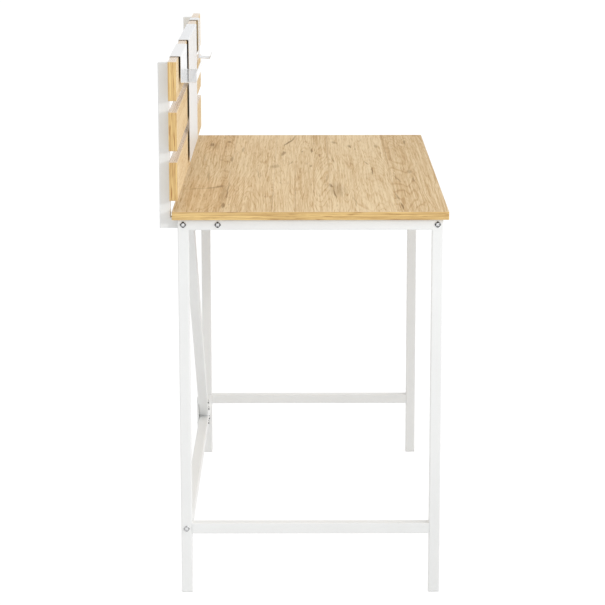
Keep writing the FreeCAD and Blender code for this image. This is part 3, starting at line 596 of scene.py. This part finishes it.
# Faces of the dome and recess get painted shade between these shares of the head's radius and
# height.
PAINTED_SHADE_RADII = (0.45, 0.86)
PAINTED_SHADE_LIFTS = (0.2, 0.93)
# From this share of the radius a face is on the flank, which gets painted shade only near an arm
# of the recess, up to so many degrees from it.
FLANK_RADIUS = 0.87
ARM_SPREAD = 20
# The frame bolts below this level get a paler painted shade on their flanks and recesses than
# those under the top.
LOW_BOLTS = 300 * MM
# Turns of the heads one after another, in degrees, so that they don't all stand alike.
SPINS = (0, 5, -4, 8, 2, -6, 4, -7)

BOLT = {"head_radius": 5.5 * MM, "head_height": 3 * MM, "radius": 3 * MM,
        "pitch": 1.0 * MM, "thread_length": 9 * MM}
GUSSET_BOLT = {"head_radius": 5 * MM, "head_height": 2.6 * MM, "radius": 2.5 * MM,
               "pitch": 0.8 * MM, "thread_length": 8 * MM}
WOOD_SCREW = {"head_radius": 4 * MM, "head_height": 2.2 * MM, "radius": 2 * MM,
              "pitch": 1.6 * MM, "thread_length": 10 * MM}


def cross_cutter(reach, depth, top):
    """A tapered cross that stands in a screw head and cuts its recess."""
    mesh = bmesh.new()
    arm = reach * RECESS_ARM
    rows = []
    for share, z in ((1.0, top), (RECESS_FLOOR, top - depth)):
        long, short = reach * share, arm * (0.5 + 0.5 * share)
        outline = [(long, -short), (long, short), (short, short), (short, long), (-short, long),
                   (-short, short), (-long, short), (-long, -short), (-short, -short),
                   (-short, -long), (short, -long), (short, -short)]
        rows.append([mesh.verts.new((x, y, z)) for x, y in outline])
    high, low = rows
    mesh.faces.new(high)
    mesh.faces.new(list(reversed(low)))
    count = len(high)
    for at in range(count):
        after = (at + 1) % count
        mesh.faces.new((high[at], low[at], low[after], high[after]))
    return mesh


def plain_object(name, mesh):
    """A closed bmesh as an object for a boolean cut."""
    mesh.normal_update()
    bmesh.ops.recalc_face_normals(mesh, faces=mesh.faces)
    return mesh_object(name, mesh)


def gets_painted_shade(middle, head_radius, head_height):
    """Whether a face of a screw with this middle gets painted shade."""
    far, lift = math.hypot(middle.x, middle.y) / head_radius, middle.z / head_height
    if far > FLANK_RADIUS and lift > 0.0:
        angle = math.degrees(math.atan2(middle.y, middle.x))
        return abs((angle + 45) % 90 - 45) < ARM_SPREAD
    return PAINTED_SHADE_RADII[0] < far < PAINTED_SHADE_RADII[1] and PAINTED_SHADE_LIFTS[0] < lift < PAINTED_SHADE_LIFTS[1]


def screw_template(name, head_radius, head_height, radius, pitch, thread_length, length):
    """Pan-headed screw, its head above z = 0 and its shank below, with a cross recess."""
    mesh = bmesh.new()
    z = -length
    rings = [ring(radius * TIP_SHARE, z, SHANK_SIDES)]
    in_groove = False
    while z < -length + thread_length:
        z += pitch / 2
        rings.append(ring(radius * (GROOVE_SHARE if in_groove else 1.0), z, SHANK_SIDES))
        in_groove = not in_groove
    rings.append(ring(radius, 0.0, SHANK_SIDES))
    lathe(mesh, rings, capped=True)
    lathe(mesh, [ring(share * head_radius, lift * head_height, HEAD_SIDES)
                 for share, lift in HEAD_PROFILE], capped=True)
    body = plain_object(name, mesh)
    cutter = plain_object(name + "_cutter", cross_cutter(
        head_radius * RECESS_REACH, head_height * RECESS_DEPTH, head_height * RECESS_TOP))
    cut = body.modifiers.new("recess", "BOOLEAN")
    cut.operation = "DIFFERENCE"
    cut.solver = "EXACT"
    cut.object = cutter
    with_recess = body.evaluated_get(bpy.context.evaluated_depsgraph_get())
    made = bpy.data.meshes.new_from_object(with_recess)
    for thing in (body, cutter):
        bpy.data.objects.remove(thing)
    # The faces picked here get the zinc with painted shade, the rest the bright zinc.
    for face in made.polygons:
        face.material_index = PAINTED_SHADE_SLOT if gets_painted_shade(face.center, head_radius, head_height) else BRIGHT
    return made


def place_screws(name, node, template, axis, sense, seats):
    """Copies of a template in place of a CAD node, each with its head on a seat.

    The shanks point along an axis with the given sense.
    """
    mesh = bmesh.new()
    turn = UP.rotation_difference(AXES[axis] * -sense).to_matrix().to_4x4()
    for at, seat in enumerate(seats):
        verts_before, faces_before = len(mesh.verts), len(mesh.faces)
        mesh.from_mesh(template)
        mesh.verts.ensure_lookup_table()
        mesh.faces.ensure_lookup_table()
        # Low frame bolts get the paler painted shade in place of the dark one.
        if axis == "x" and seat.z < LOW_BOLTS:
            for face in mesh.faces[faces_before:]:
                face.material_index = PAINTED_PALE_SHADE_SLOT if face.material_index == PAINTED_SHADE_SLOT else BRIGHT
        spin = Matrix.Rotation(math.radians(SPINS[at % len(SPINS)]), 4, "Z")
        bmesh.ops.transform(mesh, matrix=Matrix.Translation(seat) @ turn @ spin,
                            verts=mesh.verts[verts_before:])
    piece = new_piece(name, mesh, looks=SCREW_LOOKS)
    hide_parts(node)


def screws(node, axis, sense, sizes):
    """Replace one CAD node of screws by detailed ones of the same heads and lengths."""
    letter = "xyz".index(axis)
    head = sizes["head_height"]
    seats = {}
    for low, high in solids_of(node):
        seat = (low + high) / 2
        seat[letter] = (low if sense > 0 else high)[letter] + sense * head
        seats.setdefault(round((high - low)[letter] - head, DECIMALS), []).append(seat)
    for length in sorted(seats):
        thread_length = min(sizes["thread_length"], length / 2)
        template = screw_template(node + "_template", length=length,
                                  **{**sizes, "thread_length": thread_length})
        place_screws(f"{node}_turned_{round(length / MM)}", node, template, axis, sense,
                     seats[length])
        bpy.data.meshes.remove(template)


NUT_SIDES = 36
NUT_SLOPE = math.tan(math.radians(30))
# Radius of a nut's flat face as a share of half its width over flats, and the size of its
# bore's chamfer as a share of the bore's radius.
NUT_FACE = 0.96
BORE_CHAMFER = 0.12


def nut_mesh(mesh, low, high, axis, flats, bore):
    """One chamfered hexagon nut that fills the box from low to high along an axis."""
    letter = "xyz".index(axis)
    height = (high - low)[letter]
    face_radius = flats / 2 * NUT_FACE
    chamfer = bore * BORE_CHAMFER

    def hexagon(angle):
        return flats / 2 / math.cos((angle + math.pi / 6) % (math.pi / 3) - math.pi / 6)

    def lip(angle):
        return (hexagon(angle) - face_radius) * NUT_SLOPE

    def flanks(level):
        angles = [math.tau * at / NUT_SIDES for at in range(NUT_SIDES)]
        return [Vector((hexagon(angle) * math.cos(angle), hexagon(angle) * math.sin(angle),
                        level(angle))) for angle in angles]

    under = [(bore, height / 2), (bore, chamfer), (bore + chamfer, 0.0), (face_radius, 0.0)]
    over = [(radius, height - z) for radius, z in reversed(under)]
    rings = [ring(radius, z, NUT_SIDES) for radius, z in under]
    rings += [flanks(lip), flanks(lambda angle: height - lip(angle))]
    rings += [ring(radius, z, NUT_SIDES) for radius, z in over]
    before = len(mesh.verts)
    lathe(mesh, rings)
    mesh.verts.ensure_lookup_table()
    seat = (low + high) / 2
    seat[letter] = low[letter]
    turn = UP.rotation_difference(AXES[axis]).to_matrix().to_4x4()
    bmesh.ops.transform(mesh, matrix=Matrix.Translation(seat) @ turn, verts=mesh.verts[before:])


def nuts(node, axis, flats, bore):
    """Replace one CAD node of nuts by chamfered ones."""
    mesh = bmesh.new()
    for low, high in solids_of(node):
        nut_mesh(mesh, low, high, axis, flats, bore)
    bmesh.ops.remove_doubles(mesh, verts=mesh.verts, dist=SAME_PLACE)
    bmesh.ops.recalc_face_normals(mesh, faces=mesh.faces)
    piece = new_piece(node + "_turned", mesh, looks=(ZINC,), smooth_angle=25)
    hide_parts(node)


def fasteners():
    """All screws, bolts and nuts of the desk."""
    for side, inward in SIDES:
        screws(side + "_frame_bolts", "x", inward, BOLT)
        screws(side + "_slat_screws", "y", -1, WOOD_SCREW)
    screws("desktop_screws", "z", 1, WOOD_SCREW)
    for level in ("lower", "upper"):
        screws(level + "_gusset_bolts", "y", 1, GUSSET_BOLT)
    nuts("post_foot_nuts", "x", flats=10 * MM, bore=3 * MM)


# Sheets and plates with rounded edges

# Faces that meet at less than FLAT_TURN are one face, and at more than SHARP_TURN the edge
# between them is rounded.
FLAT_TURN = math.radians(1)
SHARP_TURN = math.radians(50)
SHEETS = (
    # node, look, body
    ("pen_tray", SHEET, "pen_tray_body"),
    ("memo_board", SHEET_SATIN, "memo_board_body"),
    ("hook_plate", SHEET_SATIN, "hook_body"),
)


def rounded_copy(node, look, body, width, segments):
    """The node's own shape with its sharp edges rounded, as paint and deburring leave them."""
    mesh = bmesh.new()
    mesh.from_mesh(frame["nodes"][node].data)
    bmesh.ops.remove_doubles(mesh, verts=mesh.verts, dist=SAME_PLACE)
    bmesh.ops.dissolve_limit(mesh, angle_limit=FLAT_TURN, verts=mesh.verts, edges=mesh.edges)
    sharp = [edge for edge in mesh.edges if len(edge.link_faces) == 2
             and edge.calc_face_angle(0.0) > SHARP_TURN]
    bmesh.ops.bevel(mesh, geom=sharp, offset=width, offset_type="OFFSET", segments=segments,
                    profile=0.5, affect="EDGES", clamp_overlap=True)
    piece = new_piece(node + "_rounded", mesh, body, (look,), smooth_angle=40)
    keep_flats_flat(piece)
    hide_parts(node)


def sheet_pieces():
    """The three accessories and the two gusset plates."""
    for node, look, body in SHEETS:
        rounded_copy(node, look, body, width=0.4 * MM, segments=3)
    for node in ("lower_gusset", "upper_gusset"):
        rounded_copy(node, POWDER, DESK, width=0.5 * MM, segments=2)


# Edge bands with rounded corners

CORNER_ROUND = 2 * MM
EDGE_ROUND = 0.5 * MM
CORNER_STEPS = 8
EDGE_STEPS = 4


def rounded_outline(half_width, half_height):
    """Points round a rectangle with round corners.

    Each row is (centre of the corner's arc, way out from it, corner's signs).
    """
    rows = []
    for quarter, (sign_x, sign_y) in enumerate(((1, 1), (-1, 1), (-1, -1), (1, -1))):
        centre = Vector((sign_x * (half_width - CORNER_ROUND),
                         sign_y * (half_height - CORNER_ROUND)))
        for step in range(CORNER_STEPS + 1):
            angle = math.radians(90) * (quarter + step / CORNER_STEPS)
            rows.append((centre, Vector((math.cos(angle), math.sin(angle))), (sign_x, sign_y)))
    return rows


def edge_bands(name, core, nodes, flat_axis):
    """One band all round a board, in place of the strips on its four edges."""
    core_low, core_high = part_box(core)
    boxes = [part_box(node) for node in nodes]
    low = Vector(min(box[0][axis] for box in boxes) for axis in range(3))
    high = Vector(max(box[1][axis] for box in boxes) for axis in range(3))
    flat = "xyz".index(flat_axis)
    first, second = [axis for axis in range(3) if axis != flat]
    middle, half = (low + high) / 2, (high - low) / 2
    core_half = (core_high - core_low) / 2
    thick = half[flat]
    outline = rounded_outline(half[first], half[second])
    mesh = bmesh.new()

    def point(across, level):
        place = Vector(middle)
        place[first] += across[0]
        place[second] += across[1]
        place[flat] += level
        return place

    def outer(inset, level):
        return [point(centre + way * (CORNER_ROUND - inset), level) for centre, way, _ in outline]

    def inner(level):
        return [point((sign_x * core_half[first], sign_y * core_half[second]), level)
                for _, _, (sign_x, sign_y) in outline]

    bends = []
    for step in range(EDGE_STEPS + 1):
        angle = math.radians(90) * step / EDGE_STEPS
        bends.append((EDGE_ROUND * (1 - math.sin(angle)),
                      thick - EDGE_ROUND * (1 - math.cos(angle))))
    rings = [inner(-thick)] + [outer(inset, -level) for inset, level in bends]
    rings += [outer(inset, level) for inset, level in reversed(bends)]
    lathe(mesh, rings + [inner(thick), inner(-thick)])
    bmesh.ops.remove_doubles(mesh, verts=mesh.verts, dist=SAME_PLACE)
    bmesh.ops.dissolve_degenerate(mesh, edges=mesh.edges, dist=SAME_PLACE)
    bmesh.ops.recalc_face_normals(mesh, faces=mesh.faces)
    # The slats' band takes the copy of the edge look with painted light.
    look = BOARD_EDGE if core == "desktop" else SLAT_EDGE_PAINTED_LIGHT
    piece = new_piece(name, mesh, looks=(look,), smooth_angle=40)
    keep_flats_flat(piece)
    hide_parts(*nodes)


def all_edge_bands():
    """The bands of the top and of the three slats."""
    strips = [f"desktop_{edge}_band" for edge in ("front", "rear", "left", "right")]
    edge_bands("desktop_edge_rounded", "desktop", strips, "z")
    for level in ("lower", "middle", "upper"):
        slat = level + "_slat"
        edge_bands(slat + "_edge_rounded", slat, [slat + "_bands"], "y")


# Weld beads

BEAD_RADIUS = 1.3 * MM
BEAD_SIDES = 10
BEAD_STEP = 0.9 * MM
BEAD_FEWEST_STEPS = 8
# How thin a bead is at its very end, and how fast it gets thicker over its length.
BEAD_END = 0.06
BEAD_RISE = 6
# The ripples' height as a share of the radius, and how far they turn at each step.
RIPPLE = 0.10
RIPPLE_TURN = 2.1


def bead(mesh, start, end):
    """A rippled bead of weld from one point to another."""
    start, end = Vector(start), Vector(end)
    run = end - start
    along = run.normalized()
    side = along.orthogonal().normalized()
    other = along.cross(side)
    turns = [math.tau * at / BEAD_SIDES for at in range(BEAD_SIDES)]
    count = max(BEAD_FEWEST_STEPS, round(run.length / BEAD_STEP))
    rings = []
    for at in range(count + 1):
        share = at / count
        rise = min(1.0, max(BEAD_END, min(share, 1 - share) * BEAD_RISE))
        thickness = BEAD_RADIUS * math.sin(math.pi * rise / 2)
        thickness *= 1 + RIPPLE * math.sin(at * RIPPLE_TURN)
        rings.append([start + run * share
                      + (side * math.cos(turn) + other * math.sin(turn)) * thickness
                      for turn in turns])
    lathe(mesh, rings, capped=True)


def welds():
    """Beads above and below the ends of the lower rails, where they meet the legs."""
    mesh = bmesh.new()
    for side, inward in SIDES:
        low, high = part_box(side + "_lower_rail")
        outer_x, inner_x = (low.x, high.x) if inward > 0 else (high.x, low.x)
        keep_off = TUBE_ROUND * inward
        for y in (low.y, high.y):
            for z in (low.z, high.z):
                bead(mesh, (outer_x + keep_off, y, z), (inner_x - keep_off, y, z))
    bmesh.ops.recalc_face_normals(mesh, faces=mesh.faces)
    new_piece("frame_welds", mesh, looks=(POWDER,), smooth_angle=60)


# Stage: camera, floor and light

PHOTO_SIDE = 605
FOCAL_PIXELS = 2302.7
SENSOR = 36.0
CAMERA_REACH = 100
CAMERA_PLACE = (-4.58496, 0.00372, 1.43053)
# In radians.
CAMERA_YAW = -2.486e-4
CAMERA_PITCH = 0.211056
CAMERA_ROLL = -1.270e-3


def make_camera():
    """The camera that was solved from the photo, which looks along X and a little down."""
    data = bpy.data.cameras.new("camera")
    data.sensor_width = SENSOR
    data.sensor_fit = "AUTO"
    data.lens = FOCAL_PIXELS / PHOTO_SIDE * SENSOR
    data.clip_end = CAMERA_REACH
    ahead = Vector((math.cos(CAMERA_YAW), math.sin(CAMERA_YAW), 0))
    right = ahead.cross(UP)
    look = ahead * math.cos(CAMERA_PITCH) - UP * math.sin(CAMERA_PITCH)
    top = UP * math.cos(CAMERA_PITCH) + ahead * math.sin(CAMERA_PITCH)
    rolled_right = right * math.cos(CAMERA_ROLL) + top * math.sin(CAMERA_ROLL)
    rolled_top = top * math.cos(CAMERA_ROLL) - right * math.sin(CAMERA_ROLL)
    turn = Matrix((rolled_right, rolled_top, -look)).transposed().to_4x4()
    camera = put_in_scene("camera", data)
    camera.matrix_world = Matrix.Translation(CAMERA_PLACE) @ turn
    bpy.context.scene.camera = camera


def seen_directly(nodes, links):
    """1 for rays that show the background: from the camera, in gloss or through glass."""
    path = nodes.new("ShaderNodeLightPath")
    total = path.outputs["Is Camera Ray"]
    for name in ("Is Glossy Ray", "Is Transmission Ray"):
        more = nodes.new("ShaderNodeMath")
        more.operation = "MAXIMUM"
        links.new(total, more.inputs[0])
        links.new(path.outputs[name], more.inputs[1])
        total = more.outputs[0]
    return total


FLOOR_HALF = 40.0
FLOOR_COLOUR = 0.86
# How much of the floor's own shade shows in its white, and how bright that white is.
FLOOR_OWN_SHARE = 0.30
FLOOR_GLOW = 1.16
WORLD_LIGHT = 0.800
# The key lamp, at the front left: watts, radius, cone in degrees, place and aim.
KEY_POWER = 34.0
KEY_RADIUS = 0.09
KEY_CONE = 52
KEY_PLACE = (-1.95, -1.15, 1.30)
KEY_AIM = (-0.47, 0.25, 0.62)
SUNS = (
    # strength, then in degrees: elevation, azimuth that the light comes from, softness
    (0.80, 42, 262, 50),
    (0.16, 32, 182, 40),
)


def make_floor():
    """A pale floor that keeps the shadow and shows white to the camera."""
    mesh = bmesh.new()
    mesh.faces.new([mesh.verts.new((x * FLOOR_HALF, y * FLOOR_HALF, 0))
                    for x, y in ((-1, -1), (1, -1), (1, 1), (-1, 1))])
    floor = mesh_object("floor", mesh)
    material = bpy.data.materials.new("pale_floor")
    material.use_nodes = True
    nodes, links = material.node_tree.nodes, material.node_tree.links
    nodes.clear()
    paint = nodes.new("ShaderNodeBsdfDiffuse")
    paint.inputs["Color"].default_value = (FLOOR_COLOUR, FLOOR_COLOUR, FLOOR_COLOUR, 1)
    glow = nodes.new("ShaderNodeEmission")
    glow.inputs["Strength"].default_value = FLOOR_GLOW
    share = nodes.new("ShaderNodeMath")
    share.operation = "MULTIPLY"
    links.new(seen_directly(nodes, links), share.inputs[0])
    share.inputs[1].default_value = 1 - FLOOR_OWN_SHARE
    blend = nodes.new("ShaderNodeMixShader")
    links.new(share.outputs[0], blend.inputs[0])
    links.new(paint.outputs[0], blend.inputs[1])
    links.new(glow.outputs[0], blend.inputs[2])
    output = nodes.new("ShaderNodeOutputMaterial")
    links.new(blend.outputs[0], output.inputs["Surface"])
    floor.data.materials.append(material)


def direction_of(elevation, azimuth):
    """The way towards a light that comes from an elevation and an azimuth in degrees."""
    rise, turn = math.radians(elevation), math.radians(azimuth)
    return Vector((math.cos(rise) * math.cos(turn), math.cos(rise) * math.sin(turn),
                   math.sin(rise)))


def hang_light(name, data, source):
    """A light that shines from the given direction."""
    lamp = put_in_scene(name, data)
    lamp.rotation_mode = "QUATERNION"
    lamp.rotation_quaternion = source.to_track_quat("Z", "Y")
    return lamp


def make_world():
    """Even light from all round, and pure white where the background is seen."""
    world = bpy.data.worlds.new("studio")
    bpy.context.scene.world = world
    world.use_nodes = True
    nodes, links = world.node_tree.nodes, world.node_tree.links
    nodes.clear()
    blend = nodes.new("ShaderNodeMixShader")
    links.new(seen_directly(nodes, links), blend.inputs[0])
    for socket, strength in ((blend.inputs[1], WORLD_LIGHT), (blend.inputs[2], 1.0)):
        background = nodes.new("ShaderNodeBackground")
        background.inputs["Color"].default_value = (1, 1, 1, 1)
        background.inputs["Strength"].default_value = strength
        links.new(background.outputs[0], socket)
    output = nodes.new("ShaderNodeOutputWorld")
    links.new(blend.outputs[0], output.inputs["Surface"])


def make_light():
    """The world, the key lamp and the soft suns."""
    make_world()
    key = bpy.data.lights.new("key", "SPOT")
    key.energy = KEY_POWER
    key.shadow_soft_size = KEY_RADIUS
    key.spot_size = math.radians(KEY_CONE)
    key.spot_blend = 1.0
    hang_light("key", key, Vector(KEY_PLACE) - Vector(KEY_AIM)).location = KEY_PLACE
    for at, (strength, elevation, azimuth, softness) in enumerate(SUNS):
        sun = bpy.data.lights.new(f"sun_{at}", "SUN")
        sun.energy = strength
        sun.angle = math.radians(softness)
        hang_light(f"sun_{at}", sun, direction_of(elevation, azimuth))
    bpy.context.scene.view_settings.view_transform = "Standard"


make_camera()
make_floor()
make_light()
paint_nodes()
fasteners()
sheet_pieces()
all_edge_bands()
welds()

bpy.context.view_layer.update()
